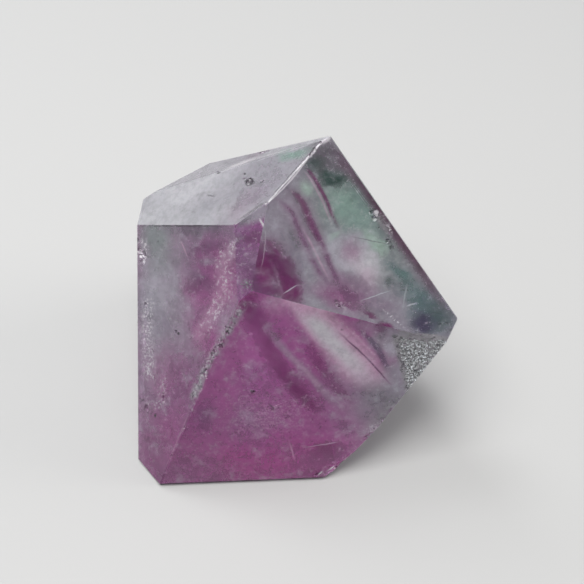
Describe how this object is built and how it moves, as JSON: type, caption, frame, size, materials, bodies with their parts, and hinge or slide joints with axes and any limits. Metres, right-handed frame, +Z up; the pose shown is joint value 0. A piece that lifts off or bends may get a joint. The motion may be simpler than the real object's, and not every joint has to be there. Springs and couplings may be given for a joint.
{
  "type": "polished fluorite block",
  "caption": "Freehand-cut polished block of see-through banded fluorite with flat facets, a pointed top, a leaning right tip and a flat base to stand on.",
  "frame": {"origin": "middle of the footprint, on the plane of the flat base", "axes": "+Z up from the base; the front, with the two broad purple facets, looks toward -Y; +X runs to the leaning right tip"},
  "size_m": [0.0576, 0.0526, 0.0506],
  "materials": {
    "fluorite": "polished"
  },
  "bodies": {
    "root": {"fluorite": "fluorite"}
  },
  "joints": []
}
